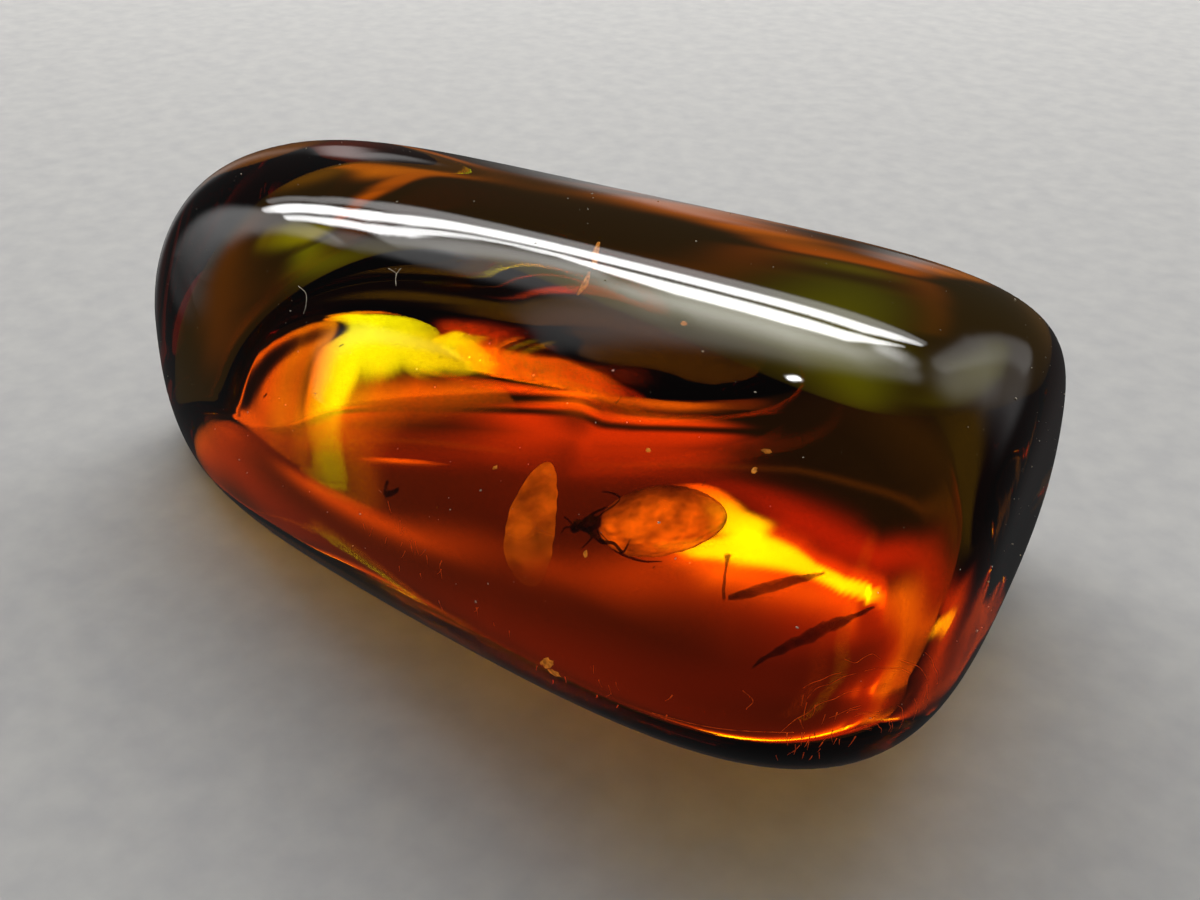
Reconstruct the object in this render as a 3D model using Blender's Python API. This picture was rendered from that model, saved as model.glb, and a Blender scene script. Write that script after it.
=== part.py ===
"""A polished amber pebble with an insect, a loose leg and plant scraps sealed inside.

The clear body is parted on a level plane into a lower and an upper half, and each
half carries its side of the pockets that hold the inclusions.
Metres, +Z up, origin on the ground under the middle of the bounding box.
"""

import math

import bmesh
import bpy
from mathutils import Matrix, Vector

MM = 0.001

# The pebble: half sizes, tapers and bows, with u from -1 (narrow end) to 1 (broad end).
HALF_LENGTH = 17.0
HALF_DEPTH = 9.3045
DEPTH_TAPER = 0.337
TOP_HEIGHT = 6.652
TOP_TAPER = -0.103
TOP_BOW = -0.107
BOTTOM_HEIGHT = 7.229
BOTTOM_TAPER = -0.254
BOTTOM_BOW = 0.095
WAIST_HEIGHT = 6.129  # of the widest level above the ground, at mid length
WAIST_RISE = 0.722
SIDE_SWEEP = 1.358
SIDE_BOW = 1.340
TOP_NARROWING = 0.118
END_SKEW = -0.050
END_SKEW_TAPER = -0.126
TOP_SQUARENESS = 2.189
BOTTOM_SQUARENESS = 2.488
NARROW_END_SQUARENESS = 4.598
BROAD_END_SQUARENESS = 5.1
SOLE_ROUNDING = 0.5  # height over which the sides turn into the level sole
SOLE_LEVEL = 0.05  # the sole is level below this height of the rounded shape
CENTRE_X = 0.523
CENTRE_Y = 1.085
BODY_SEGMENTS = 56
BODY_RINGS = 40

# Where the clear body is parted, and the gap that keeps its halves apart.
PARTING_HEIGHT = 5.45
PARTING_GAP = 0.3
BLOCK_SIDE = 60.0

# The inclusions: their heights count from the parting plane.
# The insect heads along its own +X.
INSECT_PLACE = (7.27, -5.92, 0.0)
INSECT_HEADING = math.radians(-151.0)
ABDOMEN_CENTRE = (-1.87, 0.0, 0.0)
ABDOMEN_RADII = (1.68, 1.15, 0.42)
THORAX_RADII = (0.52, 0.44, 0.38)
HEAD_CENTRE = (0.56, 0.0, 0.0)
HEAD_RADII = (0.30, 0.29, 0.26)
LEG_RADIUS = 0.07
FEELER_RADIUS = 0.045

FLAKE_CENTRE = (6.23, -7.53, 0.555)
FLAKE_HEADING = math.radians(-60.3)
FLAKE_TILT = math.radians(4.8)
FLAKE_LENGTH = 4.62
FLAKE_WIDTH = 1.7
FLAKE_THICKNESS = 0.2

# Each pocket is an ellipsoid: centre, radii, heading and tilt.
POCKETS = {
    "insect_pocket": ((8.215, -5.397, 0.0), (3.3, 2.4, 0.95), INSECT_HEADING, 0.0),
    "flake_pocket": ((6.23, -7.53, 0.35), (2.75, 1.35, 0.95), FLAKE_HEADING, FLAKE_TILT),
    "leg_pocket": ((12.2, -5.3, 0.0), (1.9, 1.25, 0.6), math.radians(35.0), 0.0),
    "splinter_pocket": ((14.13, -5.96, 0.0), (1.95, 0.6, 0.55), math.radians(74.0), 0.0),
    "speck_pocket": ((0.64, -7.93, 0.0), (0.75, 0.75, 0.5), 0.0, 0.0),
}

COLOURS = {
    "amber": ((0.62, 0.20, 0.02), 0.05),
    "insect_shell": ((0.16, 0.05, 0.02), 0.45),
    "flake_skin": ((0.62, 0.40, 0.16), 0.6),
    "leg_shell": ((0.06, 0.025, 0.015), 0.5),
    "bark": ((0.05, 0.03, 0.02), 0.8),
}


def clear_scene():
    for obj in list(bpy.data.objects):
        bpy.data.objects.remove(obj, do_unlink=True)


def new_collection(name):
    collection = bpy.data.collections.new(name)
    bpy.context.scene.collection.children.link(collection)
    return collection


def material(name):
    colour, roughness = COLOURS[name]
    made = bpy.data.materials.new(name)
    made.use_nodes = True
    shader = made.node_tree.nodes["Principled BSDF"]
    shader.inputs["Base Color"].default_value = (*colour, 1.0)
    shader.inputs["Roughness"].default_value = roughness
    shader.inputs["Metallic"].default_value = 0.0
    return made


def body_point(direction):
    """The pebble's surface point for a unit direction, in millimetres.

    A superellipsoid whose sections taper, bow and skew from one end to the other.
    """
    x, y, z = direction
    along = NARROW_END_SQUARENESS if x < 0 else BROAD_END_SQUARENESS
    across = TOP_SQUARENESS if z > 0 else BOTTOM_SQUARENESS
    ring = (abs(y) ** across + abs(z) ** across) ** (1 / across)
    reach = (abs(x) ** along + ring**along) ** (1 / along)
    u, v, w = x / reach, y / reach, z / reach
    u += v * (END_SKEW + END_SKEW_TAPER * u)
    depth = HALF_DEPTH * (1 + DEPTH_TAPER * u)
    if w > 0:
        height = TOP_HEIGHT * (1 + TOP_TAPER * u + TOP_BOW * u * u)
    else:
        height = BOTTOM_HEIGHT * (1 + BOTTOM_TAPER * u + BOTTOM_BOW * u * u)
    sideways = SIDE_SWEEP * u + SIDE_BOW * u * u + v * depth * (1 - TOP_NARROWING * w)
    level = WAIST_HEIGHT + WAIST_RISE * u + w * height
    if level < SOLE_ROUNDING:
        level = SOLE_ROUNDING * math.exp(level / SOLE_ROUNDING - 1)
    level = max(level - SOLE_LEVEL, 0.0)
    return Vector((u * HALF_LENGTH - CENTRE_X, sideways - CENTRE_Y, level))


def at_parting(place):
    """A place in metres, from millimetres with the height counted from the parting plane."""
    x, y, z = place
    return Vector((x, y, z + PARTING_HEIGHT)) * MM


def mesh_object(name, bm, collection):
    mesh = bpy.data.meshes.new(name)
    bm.to_mesh(mesh)
    bm.free()
    mesh.shade_smooth()
    obj = bpy.data.objects.new(name, mesh)
    collection.objects.link(obj)
    return obj


def as_helper(obj):
    obj.hide_render = True
    obj.display_type = "WIRE"
    return obj


def pebble(name, collection):
    """The whole body, from a sphere whose poles lie at the two ends."""
    bm = bmesh.new()
    bmesh.ops.create_uvsphere(bm, u_segments=BODY_SEGMENTS, v_segments=BODY_RINGS, radius=1.0)
    for vertex in bm.verts:
        x, y, z = vertex.co.normalized()
        vertex.co = body_point((z, x, y)) * MM
    return mesh_object(name, bm, collection)


def block(name, lowest, highest, collection):
    """A wide box between two heights, which cuts the body on a level plane."""
    bm = bmesh.new()
    bmesh.ops.create_cube(bm, size=1.0)
    bmesh.ops.scale(bm, vec=(BLOCK_SIDE * MM, BLOCK_SIDE * MM, (highest - lowest) * MM), verts=bm.verts)
    bmesh.ops.translate(bm, vec=(0.0, 0.0, (highest + lowest) / 2 * MM), verts=bm.verts)
    return as_helper(mesh_object(name, bm, collection))


def ellipsoid(name, centre, radii, collection, segments=20, rings=12):
    bm = bmesh.new()
    bmesh.ops.create_uvsphere(bm, u_segments=segments, v_segments=rings, radius=1.0)
    bmesh.ops.scale(bm, vec=Vector(radii) * MM, verts=bm.verts)
    obj = mesh_object(name, bm, collection)
    obj.location = Vector(centre) * MM
    return obj


def limb(name, points, radii, collection, sides=1):
    """A jointed tube that swells and thins along its points, made a closed mesh."""
    curve = bpy.data.curves.new(name, "CURVE")
    curve.dimensions = "3D"
    curve.bevel_depth = MM
    curve.bevel_resolution = sides
    curve.use_fill_caps = True
    spline = curve.splines.new("POLY")
    spline.points.add(len(points) - 1)
    for point, place, radius in zip(spline.points, points, radii):
        point.co = (*(Vector(place) * MM), 1.0)
        point.radius = radius
    drawn = bpy.data.objects.new(name + "_curve", curve)
    bpy.context.scene.collection.objects.link(drawn)
    bpy.context.view_layer.update()
    evaluated = drawn.evaluated_get(bpy.context.evaluated_depsgraph_get())
    mesh = bpy.data.meshes.new_from_object(evaluated)
    bm = bmesh.new()
    bm.from_mesh(mesh)
    bmesh.ops.remove_doubles(bm, verts=bm.verts, dist=0.000001)
    bmesh.ops.recalc_face_normals(bm, faces=bm.faces)
    obj = mesh_object(name, bm, collection)
    obj.matrix_world = drawn.matrix_world.copy()
    bpy.data.objects.remove(drawn, do_unlink=True)
    bpy.data.meshes.remove(mesh)
    return obj


def boolean(obj, other, operation):
    modifier = obj.modifiers.new(other.name, "BOOLEAN")
    modifier.operation = operation
    modifier.solver = "EXACT"
    modifier.object = other


def spindle(start, end, steps, thickest, thinnest):
    """Points and radii of a needle that is widest at mid length."""
    points = []
    radii = []
    for step in range(steps + 1):
        share = step / steps
        points.append(Vector(start).lerp(Vector(end), share))
        radii.append(thinnest + (thickest - thinnest) * math.sin(math.pi * share))
    return points, radii


def leg_pairs():
    """The three pairs of legs and the feelers: name, points on the left side and radius."""
    return (
        ("front_leg", ((0.20, 0.20, -0.05), (0.72, 0.78, 0.15), (1.05, 1.02, -0.25)), LEG_RADIUS),
        ("middle_leg", ((-0.02, 0.22, -0.08), (0.12, 1.12, 0.20), (0.36, 1.66, -0.28)), LEG_RADIUS),
        ("hind_leg", ((-0.25, 0.20, -0.08), (-0.75, 1.36, 0.12), (-1.35, 1.78, -0.28)), LEG_RADIUS),
        ("feeler", ((0.70, 0.10, 0.06), (1.05, 0.36, 0.18), (1.36, 0.50, 0.10)), FEELER_RADIUS),
    )


def insect(parts, helpers):
    """Folded wings over the abdomen, thorax, head, six legs and two feelers, as one body."""
    obj = ellipsoid("insect", (0, 0, 0), ABDOMEN_RADII, parts, segments=28, rings=14)
    obj.data.transform(Matrix.Translation(Vector(ABDOMEN_CENTRE) * MM))
    pieces = [
        ellipsoid("thorax", (0, 0, 0), THORAX_RADII, helpers, segments=16, rings=10),
        ellipsoid("head", HEAD_CENTRE, HEAD_RADII, helpers, segments=14, rings=8),
    ]
    for name, points, radius in leg_pairs():
        for side in (1, -1):
            path = [(x, y * side, z) for x, y, z in points]
            radii = (radius, radius * 0.9, radius * 0.6)
            pieces.append(limb(f"{name}_{'left' if side > 0 else 'right'}", path, radii, helpers))
    obj.location = at_parting(INSECT_PLACE)
    obj.rotation_euler = (0.0, 0.0, INSECT_HEADING)
    for piece in pieces:
        as_helper(piece)
        piece.parent = obj
        boolean(obj, piece, "UNION")
    return obj


def flake(collection):
    """A thin leaf-shaped scale, pointed at its near end."""
    curve = bpy.data.curves.new("pale_flake", "CURVE")
    curve.dimensions = "2D"
    curve.fill_mode = "BOTH"
    curve.extrude = FLAKE_THICKNESS / 2 * MM
    steps = 12
    upper = []
    for step in range(steps + 1):
        share = step / steps
        width = FLAKE_WIDTH / 2 * math.sin(math.pi * share**0.75) ** 0.8
        upper.append(((share - 0.5) * FLAKE_LENGTH, width))
    outline = upper + [(x, -y) for x, y in reversed(upper[1:-1])]
    spline = curve.splines.new("POLY")
    spline.points.add(len(outline) - 1)
    for point, (x, y) in zip(spline.points, outline):
        point.co = (x * MM, y * MM, 0.0, 1.0)
    spline.use_cyclic_u = True
    obj = bpy.data.objects.new("pale_flake", curve)
    collection.objects.link(obj)
    obj.location = at_parting(FLAKE_CENTRE)
    obj.rotation_euler = (0.0, FLAKE_TILT, FLAKE_HEADING)
    return obj


def inclusions(parts, helpers):
    insect(parts, helpers).data.materials.append(material("insect_shell"))
    flake(parts).data.materials.append(material("flake_skin"))

    shin = ((11.20, -5.28, 0.12), (11.30, -5.44, 0.06), (11.62, -5.98, 0.0), (11.86, -6.30, -0.02))
    thigh, thigh_radii = spindle((12.07, -6.15, 0.0), (13.29, -4.37, 0.0), 6, 0.21, 0.07)
    radii = [0.15, 0.07, 0.07, 0.08] + thigh_radii
    loose_leg = limb("loose_leg", list(shin) + thigh, radii, parts, sides=2)
    loose_leg.data.materials.append(material("leg_shell"))
    loose_leg.location = at_parting((0, 0, 0))

    points, radii = spindle((13.73, -7.36, 0.0), (14.53, -4.56, 0.0), 8, 0.17, 0.05)
    bend = ((0.36, -7.72, 0.05), (0.60, -8.12, -0.02), (0.94, -7.76, 0.02))
    bark = material("bark")
    scraps = (
        limb("splinter", points, radii, parts, sides=2),
        limb("bark_speck", bend, (0.06, 0.10, 0.06), parts, sides=2),
    )
    for scrap in scraps:
        scrap.data.materials.append(bark)
        scrap.location = at_parting((0, 0, 0))


def clear_body(parts, helpers):
    pockets = []
    for name, (centre, radii, heading, tilt) in POCKETS.items():
        pocket = as_helper(ellipsoid(name, (0, 0, 0), radii, helpers))
        pocket.location = at_parting(centre)
        pocket.rotation_euler = (0.0, tilt, heading)
        pockets.append(pocket)
    half_gap = PARTING_GAP / 2
    above = block("above_parting", PARTING_HEIGHT - half_gap, 20.0, helpers)
    below = block("below_parting", -9.0, PARTING_HEIGHT + half_gap, helpers)
    amber = material("amber")
    for name, cut in (("amber_lower", above), ("amber_upper", below)):
        half = pebble(name, parts)
        half.data.materials.append(amber)
        for cutter in pockets + [cut]:
            boolean(half, cutter, "DIFFERENCE")


def main():
    clear_scene()
    parts = new_collection("insect_in_amber")
    helpers = new_collection("cutters")
    clear_body(parts, helpers)
    inclusions(parts, helpers)


main()
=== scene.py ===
"""Dresses the amber pebble and its inclusions, and sets the floor, the lights and the camera."""

import math
import random

import bmesh
import bpy
import numpy as np
from mathutils import Matrix, Vector, noise


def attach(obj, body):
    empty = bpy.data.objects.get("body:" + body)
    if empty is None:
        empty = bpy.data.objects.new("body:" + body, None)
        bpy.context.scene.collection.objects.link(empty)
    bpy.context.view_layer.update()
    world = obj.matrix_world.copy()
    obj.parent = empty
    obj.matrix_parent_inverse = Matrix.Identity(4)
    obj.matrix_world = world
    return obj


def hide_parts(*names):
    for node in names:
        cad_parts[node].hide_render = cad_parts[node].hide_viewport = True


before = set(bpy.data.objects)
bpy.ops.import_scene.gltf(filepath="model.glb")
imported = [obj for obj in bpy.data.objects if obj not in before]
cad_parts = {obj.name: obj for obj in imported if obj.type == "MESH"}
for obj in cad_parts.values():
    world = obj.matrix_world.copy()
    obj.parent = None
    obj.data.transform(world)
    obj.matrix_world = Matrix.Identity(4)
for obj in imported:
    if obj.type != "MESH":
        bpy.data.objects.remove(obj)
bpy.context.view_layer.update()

MM = 0.001

# ---------------------------------------------------------------- the pebble's shape, as in the solids
# Lengths, heights and sweeps are in millimetres. Tapers, bows, narrowing and skews are shares of them,
# and each squareness is the exponent of a rounded box. X runs from the narrow end to the broad end.
HALF_LENGTH = 17.0
HALF_DEPTH = 9.3045
DEPTH_TAPER = 0.337
TOP_HEIGHT = 6.652
TOP_TAPER = -0.103
TOP_BOW = -0.107
BOTTOM_HEIGHT = 7.229
BOTTOM_TAPER = -0.254
BOTTOM_BOW = 0.095
WAIST_HEIGHT = 6.129
WAIST_RISE = 0.722
SIDE_SWEEP = 1.358
SIDE_BOW = 1.340
TOP_NARROWING = 0.118
END_SKEW = -0.050
END_SKEW_TAPER = -0.126
TOP_SQUARENESS = 2.189
BOTTOM_SQUARENESS = 2.488
NARROW_END_SQUARENESS = 4.598
BROAD_END_SQUARENESS = 5.1
SOLE_ROUNDING = 0.5
SOLE_LEVEL = 0.05
CENTRE_X = 0.523
CENTRE_Y = 1.085
PARTING_HEIGHT = 5.45

BODY_SEGMENTS = 220
BODY_RINGS = 160

# ---------------------------------------------------------------- optics of the amber
AMBER_IOR = 1.54
# Absorption per millimetre for red, green and blue.
AMBER_ABSORPTION = (0.062, 0.115, 0.50)
# The absorption shader's density, as a share of the strongest of the three.
DENSITY_HEADROOM = 1.02


def body_point(x, y, z):
    """The pebble's surface point for a unit direction, in millimetres."""
    along = NARROW_END_SQUARENESS if x < 0 else BROAD_END_SQUARENESS
    across = TOP_SQUARENESS if z > 0 else BOTTOM_SQUARENESS
    ring = (abs(y) ** across + abs(z) ** across) ** (1 / across)
    reach = (abs(x) ** along + ring**along) ** (1 / along)
    u, v, w = x / reach, y / reach, z / reach
    u += v * (END_SKEW + END_SKEW_TAPER * u)
    depth = HALF_DEPTH * (1 + DEPTH_TAPER * u)
    if w > 0:
        height = TOP_HEIGHT * (1 + TOP_TAPER * u + TOP_BOW * u * u)
    else:
        height = BOTTOM_HEIGHT * (1 + BOTTOM_TAPER * u + BOTTOM_BOW * u * u)
    sideways = SIDE_SWEEP * u + SIDE_BOW * u * u + v * depth * (1 - TOP_NARROWING * w)
    level = WAIST_HEIGHT + WAIST_RISE * u + w * height
    if level < SOLE_ROUNDING:
        level = SOLE_ROUNDING * math.exp(level / SOLE_ROUNDING - 1)
    level = max(level - SOLE_LEVEL, 0.0)
    return Vector((u * HALF_LENGTH - CENTRE_X, sideways - CENTRE_Y, level))


# ---------------------------------------------------------------- small tools
def link(obj):
    bpy.context.scene.collection.objects.link(obj)
    return obj


def mesh_object(name, bm, smooth=True):
    mesh = bpy.data.meshes.new(name)
    bm.to_mesh(mesh)
    bm.free()
    if smooth:
        mesh.shade_smooth()
    return link(bpy.data.objects.new(name, mesh))


def raw_object(name, points, faces, smooth=True):
    mesh = bpy.data.meshes.new(name)
    mesh.from_pydata([tuple(p) for p in points], [], faces)
    mesh.validate()
    if smooth:
        mesh.shade_smooth()
    return link(bpy.data.objects.new(name, mesh))


def new_material(name):
    made = bpy.data.materials.new(name)
    made.use_nodes = True
    tree = made.node_tree
    return made, tree, tree.nodes["Principled BSDF"]


def new_glow_material(name):
    """A material without its usual shader, for light alone."""
    made, tree, shader = new_material(name)
    tree.nodes.remove(shader)
    return made, tree


def math_node(tree, operation, first, second=None, third=None):
    """A Math node whose inputs are sockets or numbers."""
    node = tree.nodes.new("ShaderNodeMath")
    node.operation = operation
    for slot, value in zip(node.inputs, (first, second, third)):
        if isinstance(value, bpy.types.NodeSocket):
            tree.links.new(value, slot)
        elif value is not None:
            slot.default_value = value
    return node.outputs[0]


def range_node(tree, value, source, result, curve="LINEAR"):
    """Maps a socket from one pair of numbers to another, and holds it between them."""
    node = tree.nodes.new("ShaderNodeMapRange")
    node.interpolation_type = curve
    node.inputs["From Min"].default_value = source[0]
    node.inputs["From Max"].default_value = source[1]
    node.inputs["To Min"].default_value = result[0]
    node.inputs["To Max"].default_value = result[1]
    tree.links.new(value, node.inputs["Value"])
    return node.outputs[0]


def coordinate(tree, vector, axis):
    """One of a vector socket's coordinates."""
    node = tree.nodes.new("ShaderNodeSeparateXYZ")
    tree.links.new(vector, node.inputs[0])
    return node.outputs[axis]


def clear_where(tree, share, surface):
    """Lets light through the surface by a share between 0 and 1, and ends the material with it."""
    clear = tree.nodes.new("ShaderNodeBsdfTransparent")
    mix = tree.nodes.new("ShaderNodeMixShader")
    tree.links.new(share, mix.inputs[0])
    tree.links.new(surface, mix.inputs[1])
    tree.links.new(clear.outputs[0], mix.inputs[2])
    tree.links.new(mix.outputs[0], tree.nodes["Material Output"].inputs["Surface"])


def grain_node(tree, place, scale, detail):
    """Noise on the object's own coordinates."""
    node = tree.nodes.new("ShaderNodeTexNoise")
    node.inputs["Scale"].default_value = scale
    node.inputs["Detail"].default_value = detail
    tree.links.new(place.outputs["Object"], node.inputs["Vector"])
    return node.outputs["Fac"]


def two_colours(tree, shader, value, dark, light, low, high):
    """Sets the base colour from dark at the low value to light at the high one."""
    ramp = tree.nodes.new("ShaderNodeValToRGB")
    ramp.color_ramp.elements[0].position = low
    ramp.color_ramp.elements[0].color = (*dark, 1.0)
    ramp.color_ramp.elements[1].position = high
    ramp.color_ramp.elements[1].color = (*light, 1.0)
    tree.links.new(value, ramp.inputs["Fac"])
    tree.links.new(ramp.outputs["Color"], shader.inputs["Base Color"])


def at_parting(place):
    """A place in metres, from millimetres with the height counted from the parting plane."""
    x, y, z = place
    return Vector((x, y, z + PARTING_HEIGHT)) * MM


def direction(azimuth, elevation):
    a = math.radians(azimuth)
    e = math.radians(elevation)
    return Vector((math.cos(a) * math.cos(e), math.sin(a) * math.cos(e), math.sin(e)))


# ---------------------------------------------------------------- the clear amber
def amber_material():
    made, tree, shader = new_material("clear_amber")
    shader.inputs["Base Color"].default_value = (1.0, 1.0, 1.0, 1.0)
    shader.inputs["Roughness"].default_value = 0.0
    shader.inputs["IOR"].default_value = AMBER_IOR
    shader.inputs["Transmission Weight"].default_value = 1.0
    density = max(AMBER_ABSORPTION) * DENSITY_HEADROOM / MM
    colour = [1 - a / MM / density for a in AMBER_ABSORPTION]
    absorb = tree.nodes.new("ShaderNodeVolumeAbsorption")
    absorb.inputs["Color"].default_value = (*colour, 1.0)
    absorb.inputs["Density"].default_value = density
    tree.links.new(absorb.outputs["Volume"], tree.nodes["Material Output"].inputs["Volume"])
    return made


def make_amber():
    bm = bmesh.new()
    bmesh.ops.create_uvsphere(bm, u_segments=BODY_SEGMENTS, v_segments=BODY_RINGS, radius=1.0)
    for vertex in bm.verts:
        x, y, z = vertex.co.normalized()
        vertex.co = body_point(z, x, y) * MM
    obj = mesh_object("amber_clear", bm)
    obj.data.materials.append(amber_material())
    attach(obj, "root")
    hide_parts("amber_lower", "amber_upper")
    return obj


make_amber()


# ---------------------------------------------------------------- floor
# Metres. The small gap keeps the floor clear of the pebble's sole.
FLOOR_HALF_SIZE = 1.5
FLOOR_GAP = 0.0001
FLOOR_DARK = (0.465, 0.465, 0.470)
FLOOR_LIGHT = (0.535, 0.533, 0.525)
FLOOR_GRAIN = 700.0
FLOOR_ROUGHNESS = 0.8


def make_floor():
    bm = bmesh.new()
    bmesh.ops.create_grid(bm, x_segments=2, y_segments=2, size=FLOOR_HALF_SIZE)
    bmesh.ops.translate(bm, vec=(0, 0, -FLOOR_GAP), verts=bm.verts)
    obj = mesh_object("floor", bm, smooth=False)
    made, tree, shader = new_material("pale_floor")
    place = tree.nodes.new("ShaderNodeTexCoord")
    grain = grain_node(tree, place, FLOOR_GRAIN, 6.0)
    two_colours(tree, shader, grain, FLOOR_DARK, FLOOR_LIGHT, 0.30, 0.70)
    shader.inputs["Roughness"].default_value = FLOOR_ROUGHNESS
    obj.data.materials.append(made)
    obj.visible_glossy = False
    obj.visible_transmission = False


make_floor()


# ---------------------------------------------------------------- lights
# Places and sizes are in metres, and angles in degrees. The lamps hang behind the pebble: two thin
# tubes side by side, and a white panel that leans over them and fades towards its top.
TUBE_AZIMUTH = 128.5
TUBE_ELEVATION = 42.9
TUBE_DISTANCE = 0.25
TUBE_SPREAD = 38
TUBE_OFFSET = 0.009
TUBE_HALF_WIDTH = 0.0032
TUBE_COLOUR = (1.0, 0.98, 0.95)
TUBE_STRENGTH = 42
PANEL_FOOT = 0.016
PANEL_TOP_ELEVATION = 60
PANEL_TOP_DISTANCE = 0.255
# The panel's half widths, as shares of a tube's half length.
PANEL_FOOT_WIDTH = 1.3
PANEL_TOP_WIDTH = 1.5
PANEL_COLOUR = (1.0, 1.0, 0.97)
PANEL_FOOT_STRENGTH = 1.9
PANEL_TOP_STRENGTH = 0.5
# A wide weak card overhead.
FILL_HEIGHT = 0.6
FILL_CORNERS = ((-0.5, -0.1), (0.5, -0.1), (0.5, 0.6), (-0.5, 0.6))
FILL_COLOUR = (1.0, 1.0, 1.0)
FILL_STRENGTH = 0.6


def card_material(name, colour, near, far):
    """Emission that runs from near to far across the card."""
    made, tree = new_glow_material(name)
    glow = tree.nodes.new("ShaderNodeEmission")
    glow.inputs["Color"].default_value = (*colour, 1.0)
    place = tree.nodes.new("ShaderNodeUVMap")
    across = coordinate(tree, place.outputs["UV"], "Y")
    tree.links.new(range_node(tree, across, (0, 1), (near, far), "SMOOTHSTEP"), glow.inputs["Strength"])
    # A ray that has only been bent by the amber goes through the card to the glow behind it.
    path = tree.nodes.new("ShaderNodeLightPath")
    not_scattered = math_node(tree, "LESS_THAN", path.outputs["Diffuse Depth"], 0.5)
    through = math_node(tree, "MULTIPLY", path.outputs["Is Transmission Ray"], not_scattered)
    clear_where(tree, through, glow.outputs[0])
    return made


def card(name, corners, colour, near, far):
    """A four-cornered light: two near corners, then the two far ones."""
    obj = raw_object(name, corners, [(0, 1, 2, 3)], smooth=False)
    layer = obj.data.uv_layers.new(name="across")
    for loop, uv in zip(layer.data, ((0, 0), (1, 0), (1, 1), (0, 1))):
        loop.uv = uv
    obj.data.materials.append(card_material(name, colour, near, far))
    obj.visible_camera = False
    obj.visible_glossy = False
    return obj


def make_lights():
    middle = direction(TUBE_AZIMUTH, TUBE_ELEVATION) * TUBE_DISTANCE
    along = direction(TUBE_AZIMUTH - 90, 0)
    up = middle.normalized().cross(along).normalized()
    if up.z < 0:
        up = -up
    half = along * TUBE_DISTANCE * math.tan(math.radians(TUBE_SPREAD))
    width = up * TUBE_HALF_WIDTH
    for number, offset in enumerate((-TUBE_OFFSET, TUBE_OFFSET)):
        centre = middle + up * offset
        near = (centre - half - width, centre + half - width)
        far = (centre + half + width, centre - half + width)
        card(f"tube_{number}", (*near, *far), TUBE_COLOUR, TUBE_STRENGTH, TUBE_STRENGTH)
    foot = middle + up * PANEL_FOOT
    top = direction(TUBE_AZIMUTH, PANEL_TOP_ELEVATION) * PANEL_TOP_DISTANCE
    near = (foot - half * PANEL_FOOT_WIDTH, foot + half * PANEL_FOOT_WIDTH)
    far = (top + half * PANEL_TOP_WIDTH, top - half * PANEL_TOP_WIDTH)
    card("panel", (*near, *far), PANEL_COLOUR, PANEL_FOOT_STRENGTH, PANEL_TOP_STRENGTH)
    corners = [Vector((x, y, FILL_HEIGHT)) for x, y in FILL_CORNERS]
    fill = card("fill", corners, FILL_COLOUR, FILL_STRENGTH, FILL_STRENGTH)
    fill.visible_transmission = False


make_lights()


# ---------------------------------------------------------------- light round the pebble
# A stroke is a soft brush line of light: a hardness, then points of azimuth, elevation, half width,
# red and green, in degrees and linear light. The brush fades to 1/e at its half width.
# The strokes were placed one for each band of light. They are sorted by how many times
# a ray turns back inside the amber before it reaches them.
STRAIGHT_GLOW = (
    # pale ground and a soft room for the sides that the lamps don't face
    (3, (
        (215, -40, 26, 0.25, 0.18), (260, -42, 36, 0.60, 0.46), (330, -42, 36, 0.60, 0.46),
        (25, -40, 26, 0.25, 0.18),
    )),
    (3, ((240, 20, 26, 0.30, 0.24), (300, 30, 34, 0.50, 0.40), (20, 20, 26, 0.30, 0.24))),
    (4, ((0, -90, 13, 0.35, 0.26), (0, -89, 13, 0.35, 0.26))),
    # the orange under the far rim
    (2, ((137, -36, 1.2, 0.08, 0.04), (140, -45, 1.4, 0.12, 0.05), (143.5, -51.5, 1.4, 0.2, 0.07))),
    (3, ((144, -55.0, 1.3, 0.8, 0.26), (149, -57.5, 1.5, 0.55, 0.22), (156, -59.5, 2.0, 0.55, 0.22))),
    (3, (
        (156, -60, 2.2, 0.5, 0.2), (166, -61, 3.0, 1.0, 0.42), (180, -62, 4.0, 1.1, 0.5),
        (190, -70, 5, 1.4, 0.7), (210, -80, 5, 1.0, 0.4),
    )),
    # olive
    (3, ((120, -55, 3.5, 0.25, 0.4), (128, -54.5, 3.6, 0.45, 0.9), (135, -53, 3.0, 0.6, 1.2))),
    (2, (
        (133, -46, 2.4, 0.30, 0.7), (131, -36, 2.2, 0.25, 0.55), (130, -20, 2.4, 0.2, 0.45),
        (129.5, -2, 2.6, 0.15, 0.3),
    )),
    (3, ((138, -14, 4, 0.06, 0.12), (143, -25, 5.5, 0.11, 0.22), (147, -31, 4, 0.07, 0.14))),
    # brown of the narrow end
    (2, ((118, -20, 5, 0.10, 0.04), (108, -40, 8, 0.14, 0.06), (95, -55, 9, 0.14, 0.06))),
)
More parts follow.
